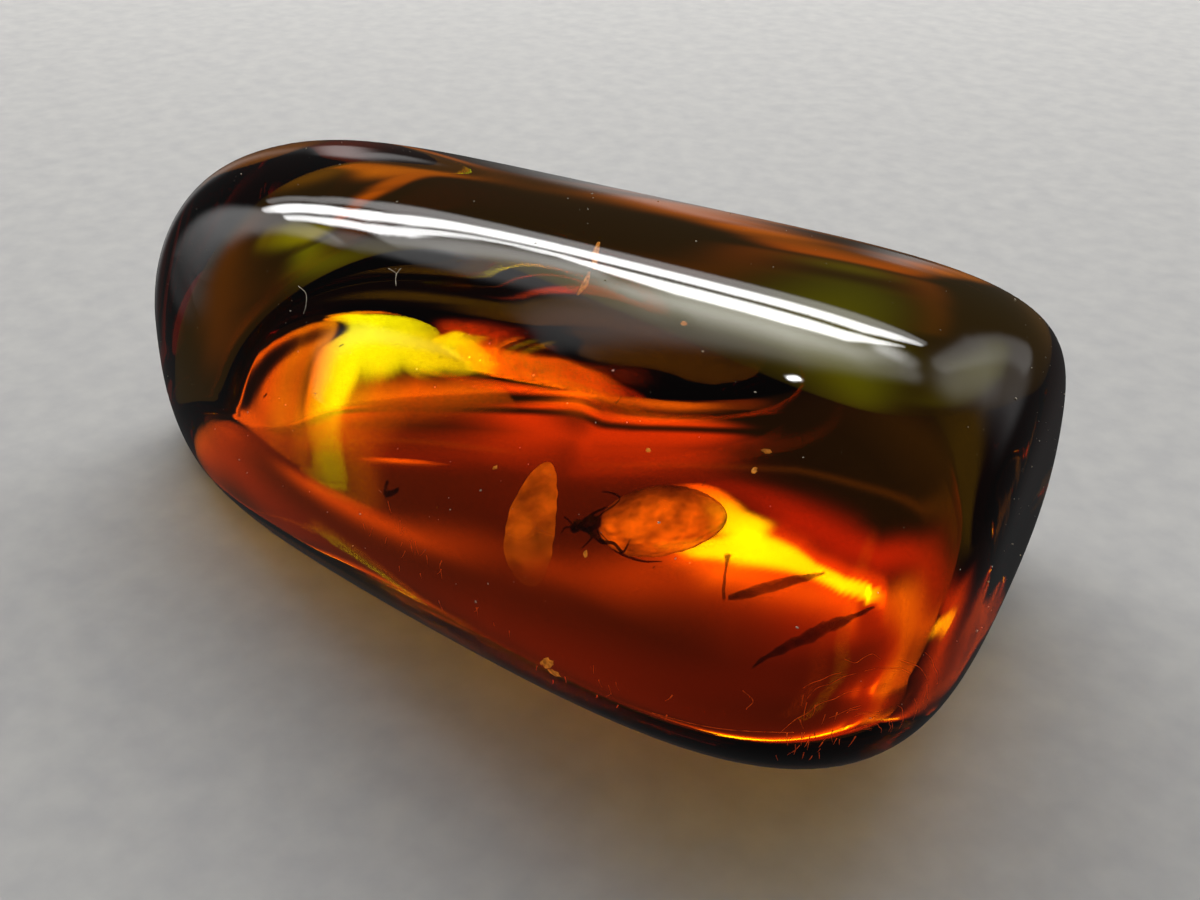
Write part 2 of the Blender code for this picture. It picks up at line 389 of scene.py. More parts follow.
ONE_TURN_GLOW = (
    # a warm ring of light for the sides that the lamps don't face
    (3, (
        (262, 48, 16, 1.2, 0.5), (315, 46, 20, 2.6, 1.3), (20, 44, 18, 2.2, 1.1),
        (50, 44, 12, 0.8, 0.3),
    )),
    (3, ((0, -25, 28, 0.5, 0.3), (30, -25, 26, 0.5, 0.3))),
    # the wide dull red of the near side, and the brown of the narrow end
    (2, ((118, 34, 7, 0.34, 0.03), (140, 35, 6, 0.40, 0.035), (165, 31, 5, 0.46, 0.045))),
    (2, ((126, 50, 6, 0.24, 0.02), (134, 60, 5, 0.75, 0.09))),
    (2, ((96, 34, 10, 0.9, 0.12), (108, 40, 7, 0.8, 0.1), (114, 56, 6, 0.9, 0.12))),
    (2, (
        (80, 38, 8, 1.0, 0.28), (92, 42, 7, 0.9, 0.22), (103, 51, 6, 0.7, 0.14),
        (110, 50, 4, 0.4, 0.08),
    )),
    # the sharp bent flash
    (5, (
        (130.8, 47.2, 0.5, 6, 6), (132.5, 46.2, 1.1, 9, 17), (136, 45.2, 1.9, 10, 22),
        (140, 42.8, 1.35, 10, 18), (143.8, 40.3, 0.75, 10, 16), (150, 37.0, 0.65, 10, 20),
        (155, 35.5, 0.6, 10, 16),
    )),
    (3, (
        (131.5, 46.4, 1.4, 3, 0.6), (136, 45.2, 2.9, 6, 1.1), (140, 42.8, 2.4, 6, 1.1),
        (144, 40.6, 1.6, 5, 0.9), (150, 37.4, 1.5, 5, 0.9), (158, 35.2, 1.1, 4, 0.8),
    )),
    (8, ((155, 35.4, 0.5, 9, 15), (157, 35.1, 0.45, 8, 7), (158.6, 34.9, 0.35, 5, 1.5))),
    (4, (
        (138.5, 54.4, 0.35, 5, 1.5), (137.6, 52.5, 0.5, 9, 5), (136.6, 50.2, 0.8, 9, 13),
        (136.6, 48, 1.6, 10, 20),
    )),
    # the red round it
    (2, (
        (140, 54, 1.5, 0.9, 0.07), (143, 47.5, 3.0, 2.2, 0.16), (150, 42, 3.0, 2.2, 0.16),
        (158, 38.3, 1.8, 2.4, 0.2), (170, 37.6, 1.4, 1.8, 0.2), (200, 37.5, 1.5, 0.9, 0.2),
    )),
    (2, (
        (128, 45, 2.4, 1.9, 0.45), (134, 41.5, 2.6, 1.6, 0.3), (142, 37.5, 2.0, 1.5, 0.2),
        (150, 34.5, 1.5, 1.5, 0.2), (165, 33.3, 1.1, 1.3, 0.15), (190, 33, 1.2, 0.8, 0.1),
    )),
    (2, (
        (159.5, 34.6, 0.8, 2.6, 1.2), (164, 34.9, 0.9, 4.0, 2.2), (170, 35.6, 0.9, 3.2, 1.4),
        (186, 35.8, 0.9, 2.8, 1.2),
    )),
    (2, (
        (131.2, 45.2, 1.0, 3.4, 1.4), (132.5, 43.6, 1.4, 4.0, 1.8), (138, 40.3, 1.4, 3.0, 1.0),
        (144, 37.8, 1.2, 3.4, 1.2), (152, 34.8, 1.0, 3.2, 1.0),
    )),
    # the arc over it
    (2, ((140, 57.2, 1.4, 0.8, 0.10), (147, 61.8, 1.2, 2.8, 0.40), (154.3, 63.7, 1.0, 3.6, 0.50))),
    (2, ((161.8, 66.2, 0.9, 4.5, 0.8), (165, 67.2, 0.8, 4.0, 0.9))),
    (2, ((185, 68.0, 0.8, 0.5, 0.2), (210, 68.0, 1.2, 1.0, 0.3))),
    (2, (
        (152, 66.8, 1.2, 3.5, 1.4), (164, 68.3, 1.0, 7, 3.2), (172, 69.8, 0.9, 9, 4),
        (200, 70.2, 0.9, 11, 5),
    )),
    # olive
    (2, ((170, 50, 14, 0.02, 0.04), (195, 46, 12, 0.10, 0.13))),
    (2, (
        (142, 58, 0.5, 0.15, 0.1), (150, 55.5, 0.7, 0.2, 0.15), (158, 50.5, 0.8, 0.2, 0.15),
        (166, 46, 0.8, 0.2, 0.15), (174, 41.5, 1.0, 0.2, 0.15), (190, 40, 1.2, 0.15, 0.15),
    )),
)
TWO_TURN_GLOW = (
    # a weak warm light from the open sides
    (3, ((0, 10, 34, 1.0, 0.5), (90, 20, 34, 1.0, 0.5), (170, 30, 30, 0.8, 0.4))),
    # the bright corner, its orange inside, and the streak that leaves it
    (6, (
        (264.4, -10, 1.0, 12, 30), (264.0, -2, 1.0, 12, 45), (263.7, 8, 1.0, 12, 50),
        (264.3, 16, 1.1, 11, 52), (266.9, 22.9, 1.3, 11, 55), (269.6, 25.9, 1.8, 10, 48),
        (272.2, 27.9, 1.1, 9, 22), (273.8, 29.0, 0.8, 8, 8),
    )),
    (3, (
        (267.5, -8, 1.2, 9, 8), (266.6, 6, 1.2, 10, 9), (266.8, 13, 1.2, 10, 8),
        (268.2, 18.5, 1.3, 10, 11), (270.2, 23, 1.2, 9, 18), (273.3, 26.5, 1.2, 8, 10),
    )),
    (3, (
        (272.0, 29.8, 0.9, 6, 9), (275.5, 31.9, 0.9, 6, 5), (278, 33.7, 0.9, 6, 5.5),
        (283, 36.3, 0.7, 6, 3), (288, 38.0, 0.9, 6, 3), (296, 40.2, 1.2, 6, 2.6),
    )),
    # the steep right edge
    (3, ((247, -4.0, 1.0, 18, 60), (242, -2.2, 1.0, 18, 60), (238, 0.2, 0.9, 18, 60))),
    (2, ((247, -8, 2.5, 5, 2.0), (241, -3, 3.0, 9, 4.5), (236, 2, 2.5, 8, 4.5), (232, 8, 3, 3, 2.0))),
    (2, ((244, 7, 2.5, 10, 8), (239, 11, 2.5, 8, 7), (231, 10, 2.5, 3, 3))),
    (2, ((247, -20, 4, 0.5, 2.4), (250, -18, 4, 0.5, 2.4))),
)
MANY_TURN_GLOW = (
    (3, ((150, 10, 36, 0.8, 0.4), (220, 10, 36, 1.2, 0.7), (290, 10, 36, 0.8, 0.4))),
    # the faint olive of the dark band, and the orange below it
    (3, ((33, -42, 13, 0.9, 5.5), (62, -56, 11, 1.1, 7), (78, -16, 11, 1.6, 8))),
    (3, ((66, -76, 5, 14, 14), (54, -84, 4, 26, 18))),
    # the ribbed block, with a red rim over it
    (2, ((50.5, 36.8, 1.8, 30, 50), (54, 38.8, 2.0, 32, 50), (58, 39.5, 1.8, 26, 35))),
    (8, ((51.5, 34.6, 0.8, 60, 1200), (54, 35.5, 2.0, 65, 1700), (56.6, 35.3, 3.2, 70, 1600))),
    (8, ((60.5, 35.2, 3.9, 72, 280), (63, 35.4, 3.6, 72, 260), (64.7, 35.2, 3.4, 72, 260))),
    (2, ((60.6, 40, 0.3, 38, 180), (60.9, 31, 0.3, 38, 180))),
    (2, ((62.2, 40, 0.25, 8, 180), (62.4, 31, 0.25, 8, 200))),
    (2, ((63.7, 40, 0.3, 8, 150), (63.8, 31, 0.3, 8, 180))),
    (2, ((64.6, 36, 0.4, 8, 260), (65, 34.6, 0.5, 8, 200))),
    (3, ((66.5, 33.5, 1.4, 30, 45), (67.5, 31.8, 1.2, 20, 30))),
    (3, ((66.5, 37, 1.5, 8, 25), (70, 36, 2.5, 6, 14))),
)
# An even faint light under the strokes above.
GLOW_BASE = 0.05

# The room as the polish shows it: grey light, with one brightness instead of red and green.
MIRROR_GLOW = (
    # twin lamps
    (6, (
        (101, 36.0, 0.5, 6), (105, 37.2, 1.0, 11), (110, 38.4, 1.4, 13), (125, 38.5, 1.4, 13),
        (140, 38.2, 1.3, 13), (150, 38.2, 1.2, 13), (158, 38.4, 1.2, 13), (165, 37.0, 1.3, 13),
        (171, 33.6, 1.4, 13), (176, 29.6, 1.3, 12), (178, 27.3, 0.9, 6),
    )),
    (6, (
        (103, 38.9, 0.3, 5), (107, 40.8, 0.8, 11), (112, 42.6, 1.6, 14), (120, 42.9, 1.9, 14),
        (132, 42.6, 1.8, 14), (138, 41.6, 1.2, 13), (142, 40.6, 0.7, 11), (148, 40.3, 0.5, 9),
        (157, 40.6, 0.6, 11), (163, 40.6, 1.0, 12), (168, 39.4, 1.1, 13), (174, 35.6, 1.0, 12),
        (178.5, 31.0, 0.7, 9),
    )),
    (6, (
        (101, 35.2, 0.8, 1.5), (110, 35.8, 1.4, 1.9), (140, 35.8, 1.3, 1.9), (157, 35.6, 1.3, 1.9),
        (166, 33.0, 1.0, 1.5), (174, 27.5, 0.8, 1.2),
    )),
    # the white card behind them, and its fading top
    (2, (
        (103, 43, 2, 1.2), (110, 46, 3, 3.0), (120, 47, 3.4, 4.6), (132, 47, 3.4, 4.4),
        (139, 46.5, 2.6, 3.0), (143, 45.5, 2, 1.2),
    )),
    (3, (
        (98, 45, 2.4, 0.9), (108, 49, 3.2, 0.8), (120, 52, 3.4, 1.0), (134, 53, 3.5, 1.0),
        (145, 54, 3.4, 0.8), (160, 54.8, 3.2, 0.65), (172, 55, 2.8, 0.5), (179, 55, 1.2, 0.3),
    )),
    (4, (
        (142, 48.5, 4, 0.7), (155, 47.0, 3.6, 0.7), (165, 45.0, 2.7, 0.8), (172, 42.5, 2, 0.8),
        (178, 38, 2, 0.8),
    )),
    (3, ((141, 43.0, 1.6, 2.6), (150, 43.0, 1.7, 2.6), (160, 43.0, 1.7, 2.4), (169, 41.0, 1.4, 2.0))),
    (3, ((100, 42, 1.8, 1.2), (105, 42, 1.8, 4.0))),
    # its two arms
    (5, ((94, 37, 2.5, 0.5), (92, 28, 3.5, 0.5), (88.5, 19, 4, 0.34), (84, 9.5, 4.5, 0.34))),
    (3, ((88, 37, 6, 0.75), (84, 28, 7, 0.70), (80, 20, 8, 0.22), (76, 12, 8, 0.2))),
    (3, ((74, 27, 7, 0.08), (70, 15, 8, 0.10))),
    (5, (
        (180, 36, 2.0, 1.2), (181, 30, 3, 1.1), (182.5, 24, 4, 1.1), (184, 16, 5.5, 0.9),
        (185.5, 8, 7, 0.5), (187, 0, 8.5, 0.2), (187, -4, 7, 0.1),
    )),
    (3, (
        (201, 43, 1.0, 0.2), (204, 33, 1.2, 0.5), (208, 22, 1.0, 0.45), (211.5, 12, 0.8, 0.4),
        (213, 3, 0.5, 0.3),
    )),
    # small patches below them, and the spark
    (3, ((139.5, 11, 2, 0.4), (144, 13, 2.5, 0.75), (143, 6, 2, 0.5))),
    (2, ((113, 5, 2, 0.35), (114, -8, 2, 0.3))),
    (2, ((124, 4, 3, 0.3), (127, 0, 5, 0.38), (128, -18, 5, 0.3))),
    (2, ((150, 5, 4, 0.15), (156, 0, 5, 0.26), (160, -14, 6, 0.3))),
    (3, ((120.9, 59.2, 0.5, 40), (122.6, 59.8, 0.5, 40))),
)
MIRROR_BASE = 0.03

# Metres, and the grid of each shell's colours. The rows stop one degree short of the poles.
SHELL_RADIUS = 1.2
MIRROR_SHELL_RADIUS = 1.26
SHELL_COLUMNS = 900
SHELL_ROWS = 446
SHELL_LAST_ROW = 89


def strokes_at(strokes, across, up):
    """Red and green of the strokes at these azimuths and elevations."""
    total = np.zeros((*across.shape, 2))
    for hardness, points in strokes:
        most = np.zeros(across.shape)
        tint = np.zeros((*across.shape, 2))
        for one, two in zip(points, points[1:]):
            squeeze = math.cos(math.radians((one[1] + two[1]) / 2))
            dx = ((two[0] - one[0] + 180) % 360 - 180) * squeeze
            dy = two[1] - one[1]
            px = ((across - one[0] + 180) % 360 - 180) * squeeze
            py = up - one[1]
            share = np.clip((px * dx + py * dy) / (dx * dx + dy * dy), 0, 1)
            width = one[2] + (two[2] - one[2]) * share
            fall = np.exp(-((np.hypot(px - share * dx, py - share * dy) / width) ** hardness))
            colour = np.array(one[3:]) + (np.array(two[3:]) - np.array(one[3:])) * share[..., None]
            tint = np.where((fall > most)[..., None], colour, tint)
            most = np.maximum(most, fall)
        total += most[..., None] * tint
    return total


def glow_material(name, layers):
    """Emission from the mesh's own colours.

    Each layer belongs to a number of turns inside the amber, and the last one to all higher numbers too.
    """
    made, tree = new_glow_material(name)
    made.cycles.emission_sampling = "NONE"
    nodes, links = tree.nodes, tree.links
    path = nodes.new("ShaderNodeLightPath")
    turns = path.outputs["Glossy Depth"]
    light = None
    for number, layer in enumerate(layers):
        colour = nodes.new("ShaderNodeAttribute")
        colour.attribute_name = layer
        shine = nodes.new("ShaderNodeEmission")
        links.new(colour.outputs["Color"], shine.inputs["Color"])
        if len(layers) > 1:
            if number < len(layers) - 1:
                chosen = math_node(tree, "COMPARE", turns, float(number), 0.5)
            else:
                chosen = math_node(tree, "GREATER_THAN", turns, number - 0.5)
            links.new(chosen, shine.inputs["Strength"])
        if light is None:
            light = shine.outputs[0]
        else:
            both = nodes.new("ShaderNodeAddShader")
            links.new(light, both.inputs[0])
            links.new(shine.outputs[0], both.inputs[1])
            light = both.outputs[0]
    # Light that the amber's inclusions scatter comes from the lamps instead.
    clear_where(tree, math_node(tree, "GREATER_THAN", path.outputs["Diffuse Depth"], 0.5), light)
    return made


def shell_mesh(name, azimuth, elevation, radius):
    """A closed sphere through a grid of azimuths and elevations."""
    a = np.radians(azimuth)
    e = np.radians(elevation)
    points = np.stack([np.cos(a) * np.cos(e), np.sin(a) * np.cos(e), np.sin(e)], -1) * radius
    faces = []
    for row in range(SHELL_ROWS - 1):
        one = row * SHELL_COLUMNS
        two = one + SHELL_COLUMNS
        for column in range(SHELL_COLUMNS):
            after = (column + 1) % SHELL_COLUMNS
            faces.append((one + column, one + after, two + after, two + column))
    faces.append(tuple(range(SHELL_COLUMNS)))
    faces.append(tuple(range((SHELL_ROWS - 1) * SHELL_COLUMNS, SHELL_ROWS * SHELL_COLUMNS)))
    return raw_object(name, points.reshape(-1, 3), faces)


def light_shell(name, radius, layers, blue):
    """A sphere round the pebble, with one colour layer for each named set of strokes.

    Blue is a share of green.
    """
    azimuth, elevation = np.meshgrid(
        np.arange(SHELL_COLUMNS) * 360 / SHELL_COLUMNS,
        np.linspace(-SHELL_LAST_ROW, SHELL_LAST_ROW, SHELL_ROWS),
    )
    obj = shell_mesh(name, azimuth, elevation, radius)
    for layer, (strokes, base) in layers.items():
        colours = np.ones((SHELL_ROWS, SHELL_COLUMNS, 4))
        colours[..., :2] = strokes_at(strokes, azimuth, elevation) + base
        colours[..., 2] = colours[..., 1] * blue
        data = obj.data.color_attributes.new(layer, "FLOAT_COLOR", "POINT").data
        data.foreach_set("color", colours.ravel())
    obj.data.materials.append(glow_material(name, list(layers)))
    obj.visible_camera = False
    obj.visible_diffuse = False
    obj.visible_shadow = False
    return obj


def make_shells():
    layers = {
        "straight": (STRAIGHT_GLOW, GLOW_BASE),
        "one_turn": (ONE_TURN_GLOW, GLOW_BASE),
        "two_turns": (TWO_TURN_GLOW, GLOW_BASE),
        "more_turns": (MANY_TURN_GLOW, GLOW_BASE),
    }
    inner = light_shell("inner_glow", SHELL_RADIUS, layers, 0.0)
    inner.visible_glossy = False
    layers = {"mirror": (MIRROR_GLOW, MIRROR_BASE)}
    outer = light_shell("mirror_glow", MIRROR_SHELL_RADIUS, layers, 1.0)
    outer.visible_transmission = False


make_shells()


# ---------------------------------------------------------------- shapes of the inclusions
LEAST_LIMB_RADIUS = 0.004


def curve_through(points, steps):
    """Points of a smooth curve through the given ones, each with any number of values."""
    rows = [np.array(p, dtype=float) for p in points]
    rows = [2 * rows[0] - rows[1]] + rows + [2 * rows[-1] - rows[-2]]
    made = []
    for a, b, c, d in zip(rows, rows[1:], rows[2:], rows[3:]):
        slope = c - a
        bend = 2 * a - 5 * b + 4 * c - d
        twist = 3 * b - a - 3 * c + d
        for step in range(steps):
            t = step / steps
            made.append(0.5 * (2 * b + slope * t + bend * t * t + twist * t**3))
    made.append(rows[-2])
    return made


def sweep(bm, points, steps=6, sides=10):
    """Adds a closed limb along points of (x, y, z, radius) in millimetres."""
    spine = curve_through(points, steps)
    rings = []
    for number, row in enumerate(spine):
        before = spine[max(number - 1, 0)]
        after = spine[min(number + 1, len(spine) - 1)]
        ahead = Vector(after[:3] - before[:3]).normalized()
        side = ahead.cross(Vector((0, 0, 1)))
        side = side.normalized() if side.length > 1e-6 else Vector((1, 0, 0))
        over = side.cross(ahead)
        radius = max(row[3], LEAST_LIMB_RADIUS)
        ring = []
        for k in range(sides):
            turn = 2 * math.pi * k / sides
            offset = side * math.cos(turn) * radius + over * math.sin(turn) * radius
            ring.append(bm.verts.new((Vector(row[:3]) + offset) * MM))
        rings.append(ring)
    for one, two in zip(rings, rings[1:]):
        for k in range(sides):
            after = (k + 1) % sides
            bm.faces.new((one[k], one[after], two[after], two[k]))
    bm.faces.new(list(reversed(rings[0])))
    bm.faces.new(rings[-1])


def ball(bm, centre, radii, shape=None, segments=32, rings=20):
    """Adds an ellipsoid in millimetres, its long way along X. shape may move each point of the unit ball."""
    made = bmesh.ops.create_uvsphere(bm, u_segments=segments, v_segments=rings, radius=1.0)
    for vertex in made["verts"]:
        x, y, z = vertex.co
        point = Vector((z, x, y))
        if shape:
            point = shape(point)
        vertex.co = Vector([(c + r * v) * MM for c, r, v in zip(centre, radii, point)])


# Millimetres. Places on the insect run forward, to the near side and up from the middle of its thorax.
INSECT_PLACE = (7.27, -5.92, 0.0)
INSECT_HEADING = math.radians(-151.0)
ABDOMEN_CENTRE = (-1.87, 0, 0)
ABDOMEN_RADII = (1.68, 1.15, 0.42)
TERGITES = 6
THORAX_CENTRE = (0.02, 0.05, 0)
THORAX_RADII = (0.32, 0.20, 0.18)
HEAD_CENTRE = (0.40, 0.12, 0)
HEAD_RADII = (0.17, 0.16, 0.14)
EYE_CENTRES = ((0.47, 0.24, 0.04), (0.47, 0.0, 0.04))
EYE_RADII = (0.06, 0.05, 0.06)
# The six legs and the two feelers, with a radius at each place.
LIMBS = (
    (
        (0.20, 0.12, -0.05, 0.05), (0.02, 0.40, 0.05, 0.06),
        (-0.10, 0.59, 0.02, 0.045), (0.12, 0.74, -0.14, 0.02),
    ),
    (
        (0.02, 0.14, -0.10, 0.06), (-0.41, 0.76, 0.05, 0.075),
        (-0.75, 0.80, 0.02, 0.05), (-1.05, 0.97, -0.08, 0.05),
        (-1.18, 0.56, -0.05, 0.03),
    ),
    (
        (-0.20, 0.14, -0.12, 0.05), (-0.90, 0.55, -0.36, 0.05),
        (-1.60, 0.86, -0.40, 0.035), (-2.15, 0.95, -0.36, 0.02),
    ),
    (
        (0.24, -0.06, -0.02, 0.05), (0.04, -0.10, 0.14, 0.06),
        (-0.24, -0.20, 0.22, 0.04), (-0.38, -0.36, 0.12, 0.015),
    ),
    (
        (0.00, -0.14, -0.10, 0.05), (-0.62, -0.30, 0.36, 0.03),
        (-0.36, -0.62, 0.34, 0.03), (-0.10, -0.93, 0.12, 0.02),
    ),
    (
        (-0.20, -0.12, -0.12, 0.05), (-0.85, -0.40, -0.38, 0.04),
        (-1.50, -0.72, -0.40, 0.03), (-2.05, -0.88, -0.34, 0.02),
    ),
    ((0.52, 0.10, 0.04, 0.025), (0.70, 0.02, 0.12, 0.03), (0.82, -0.12, 0.10, 0.02)),
    ((0.52, 0.18, 0.04, 0.025), (0.72, 0.30, 0.10, 0.03), (0.80, 0.46, 0.06, 0.02)),
)
# The limbs are drawn this much thinner than the radii above.
LIMB_SLIMNESS = 0.7


def abdomen_shape(point):
    """A drop-shaped oval with shallow rings across it."""
    x, y, z = point
    swell = 1 - 0.10 * x * x + 0.06 * x
    step = (x * 0.5 + 0.5) * TERGITES
    swell -= 0.03 * (step - math.floor(step)) ** 6
    grain = noise.noise(Vector((x * 9, y * 7, z * 5))) * 0.03
    return Vector((x, y * (swell + grain), z * (swell + grain * 2)))


def make_insect():
    abdomen = bmesh.new()
    ball(abdomen, ABDOMEN_CENTRE, ABDOMEN_RADII, abdomen_shape, segments=96, rings=64)
    body = bmesh.new()
    ball(body, THORAX_CENTRE, THORAX_RADII)
    ball(body, HEAD_CENTRE, HEAD_RADII)
    for centre in EYE_CENTRES:
        ball(body, centre, EYE_RADII, segments=16, rings=10)
    for limb in LIMBS:
        sweep(body, [(x, y, z, r * LIMB_SLIMNESS) for x, y, z, r in limb])
    pieces = (
        ("insect_abdomen", abdomen, wing_case_material()),
        ("insect_body", body, chitin_material()),
    )
    place = Matrix.Translation(at_parting(INSECT_PLACE)) @ Matrix.Rotation(INSECT_HEADING, 4, "Z")
    for name, bm, finish in pieces:
        obj = mesh_object(name, bm)
        obj.data.materials.append(finish)
        obj.matrix_world = place
        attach(obj, "root")
        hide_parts("insect")


FLAKE_CENTRE = (6.23, -7.53, 0.555)
FLAKE_HEADING = math.radians(-60.3)
FLAKE_TILT = math.radians(4.8)
FLAKE_LENGTH = 4.62
FLAKE_WIDTH = 1.70
FLAKE_THICKNESS = 0.14


def flake_shape(point):
    """A leaf with a narrower tip, and a ragged foot that thins away."""
    x, y, z = point
    bow = 0.14 * (1 - x * x)
    ragged = noise.noise(Vector((x * 5, y * 6, 2))) * 0.06
    wave = 0.5 * math.sin(2.4 * x + 0.8 * y) + noise.noise(Vector((x * 2, y * 2, 7))) * 0.8
    spread = 0.90 + 0.16 * x + ragged
    return Vector((x, y * spread - bow, z * (1 + 0.3 * ragged) + wave * 0.5))


def make_flake():
    bm = bmesh.new()
    radii = (FLAKE_LENGTH / 2, FLAKE_WIDTH / 2, FLAKE_THICKNESS / 2)
    ball(bm, (0, 0, 0), radii, flake_shape, segments=64, rings=72)
    obj = mesh_object("pale_flake_skin", bm)
    obj.data.materials.append(flake_material())
    turn = Matrix.Rotation(FLAKE_HEADING, 4, "Z") @ Matrix.Rotation(FLAKE_TILT, 4, "Y")
    obj.matrix_world = Matrix.Translation(at_parting(FLAKE_CENTRE)) @ turn
    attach(obj, "root")
    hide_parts("pale_flake")


# Places and radii of the loose pieces, in millimetres, with heights from the parting plane.
SHIN = (
    (11.20, -5.28, 0.12, 0.09),
    (11.30, -5.44, 0.06, 0.045),
    (11.62, -5.98, 0.0, 0.04),
    (11.86, -6.30, -0.02, 0.045),
)
THIGH = (
    (11.95, -6.25, 0.0, 0.05),
    (12.20, -5.96, 0.0, 0.10),
    (12.65, -5.30, 0.0, 0.13),
    (13.05, -4.72, 0.0, 0.08),
    (13.29, -4.37, 0.0, 0.03),
)
SPLINTER = (
    (13.60, -7.75, 0.0, 0.02),
    (13.90, -6.75, 0.03, 0.09),
    (14.13, -5.95, 0.0, 0.12),
    (14.36, -5.15, -0.02, 0.06),
    (14.53, -4.56, 0.0, 0.02),
)
SPECK = ((0.36, -7.72, 0.05, 0.06), (0.60, -8.12, -0.02, 0.10), (0.94, -7.76, 0.02, 0.05))
LEG_ROUGHNESS = 0.02
BARK_ROUGHNESS = 0.05
# Scales of the surface noise, per metre, and its seed, without which each run would give another surface.
COARSE_GRAIN = 3500
FINE_GRAIN = 9000
GRAIN_SEED = 5


def limb_piece(name, limbs, finish, node, rough):
    """Makes a loose piece of the insect or the bark with a rough skin, in place of its plain node."""
    noise.seed_set(GRAIN_SEED)
    bm = bmesh.new()
    for points in limbs:
        sweep(bm, [(x, y, z + PARTING_HEIGHT, r) for x, y, z, r in points], steps=10, sides=16)
    for vertex in bm.verts:
        coarse = noise.noise_vector(vertex.co * COARSE_GRAIN) * rough
        fine = noise.noise_vector(vertex.co * FINE_GRAIN) * rough * 0.5
        vertex.co += (coarse + fine) * MM
    obj = mesh_object(name, bm)
    obj.data.materials.append(finish)
    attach(obj, "root")
    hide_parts(node)


# ---------------------------------------------------------------- dust, flecks and hair cracks
def surface_frame(way):
    """The pebble's surface point in this direction from its middle, and the outward normal there."""
    way = Vector(way).normalized()
    side = way.cross(Vector((0.3, 0.2, 1))).normalized() * 0.01
    over = way.cross(side).normalized() * 0.01
    here = body_point(*way)
    normal = (body_point(*(way + side)) - here).cross(body_point(*(way + over)) - here).normalized()
    if normal.dot(way) < 0:
        normal = -normal
    return here, normal


def way_to(place):
    """The direction whose surface point lies nearest to a place in millimetres, found step by step."""
    goal = Vector(place)
    height = (goal.z - WAIST_HEIGHT) / TOP_HEIGHT
    way = Vector((goal.x / HALF_LENGTH, goal.y / HALF_DEPTH, height)).normalized()
    for _ in range(60):
        miss = goal - body_point(*way)
        step = Vector((miss.x / HALF_LENGTH, miss.y / HALF_DEPTH, miss.z / TOP_HEIGHT))
        way = (way + step * 0.5).normalized()
    return way


def under_surface(place, depth, radius):
    """A limb point at this depth below the surface place, or above it where the depth is negative."""
    here, normal = surface_frame(way_to(place))
    return (*(here - normal * depth), radius)


def fleck(bm, centre, normal, length, width, thickness, turn, dice):
    """Adds a ragged flat grain that lies along the surface."""
    side = normal.cross(Vector((0.2, 0.4, 1))).normalized()
    side.rotate(Matrix.Rotation(turn, 3, normal))
    over = normal.cross(side)
    made = bmesh.ops.create_icosphere(bm, subdivisions=2, radius=1.0)
    for vertex in made["verts"]:
        x, y, z = vertex.co * dice.uniform(0.65, 1.15)
        vertex.co = (centre + side * x * length + over * y * width + normal * z * thickness) * MM


def finish_piece(name, bm, finish):
    obj = mesh_object(name, bm)
    obj.data.materials.append(finish)
    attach(obj, "root")


# Places, lengths, widths and radii are in millimetres from here on.
DUST_COUNT = 420
DUST_SMALLEST = 0.012
DUST_SPREAD = 0.036
FIBRE_HEIGHT = 0.015
FIBRE_RADIUS = 0.010
# Surface places that each fibre passes.
FIBRES = (
    ((-5.54, -7.47, 10.34), (-5.00, -7.61, 10.28), (-4.69, -7.89, 10.03), (-4.62, -8.07, 9.85)),
    ((-2.38, -6.27, 11.49), (-1.95, -6.34, 11.47), (-1.80, -6.50, 11.38), (-1.57, -6.70, 11.27)),
    ((-1.93, -6.14, 11.58), (-1.93, -6.25, 11.52), (-1.90, -6.40, 11.42)),
)


def make_dust():
    """Fine grains on the upper side of the polish, and a few fibres."""
    dice = random.Random(11)
    bm = bmesh.new()
    placed = 0
    while placed < DUST_COUNT:
        way = Vector([dice.gauss(0, 1) for _ in range(3)]).normalized()
        here, normal = surface_frame(way)
        if normal.z < -0.1:
            continue
        size = DUST_SMALLEST + DUST_SPREAD * dice.random() ** 4
        centre = here + normal * size * 0.3
        fleck(bm, centre, normal, size, size * 0.6, size * 0.4, dice.uniform(0, 6), dice)
        placed += 1
    for fibre in FIBRES:
        sweep(bm, [under_surface(place, -FIBRE_HEIGHT, FIBRE_RADIUS) for place in fibre], sides=6)
    finish_piece("surface_dust", bm, dust_material())


FLECK_DEPTH = 0.35
FLECK_THICKNESS = 0.03
# Grains just under the surface: the surface place above each, its half length and width, and its turn.
FLECKS = (
    ((8.61, -11.05, 4.31), 0.34, 0.16, 0.9),
    ((8.85, -11.00, 4.05), 0.26, 0.12, 0.3),
    ((7.69, -4.04, 12.15), 0.12, 0.09, 0.2),
    ((12.37, -6.50, 10.86), 0.15, 0.08, 0.5),
    ((12.44, -7.12, 10.57), 0.11, 0.08, 1.9),
    ((9.56, -7.96, 10.40), 0.09, 0.06, 0.0),
    ((5.43, -9.69, 8.90), 0.09, 0.06, 1.0),
    ((9.34, -10.32, 8.06), 0.11, 0.07, 2.0),
)
# A bent golden sliver in two parts: surface places with the radius at each.
SLIVERS = (
    ((2.80, -2.10, 12.66, 0.05), (3.20, -2.75, 12.55, 0.11), (3.75, -3.40, 12.45, 0.04)),
    ((3.70, -3.60, 12.40, 0.04), (4.00, -4.15, 12.28, 0.10), (4.15, -4.65, 12.17, 0.03)),
)


def make_flecks():
    dice = random.Random(5)
    bm = bmesh.new()
    for sliver in SLIVERS:
        sweep(bm, [under_surface(place[:3], FLECK_DEPTH, place[3]) for place in sliver], sides=8)
    for place, length, width, turn in FLECKS:
        here, normal = surface_frame(way_to(place))
        fleck(bm, here - normal * FLECK_DEPTH, normal, length, width, FLECK_THICKNESS, turn, dice)
    finish_piece("inner_flecks", bm, fleck_material())


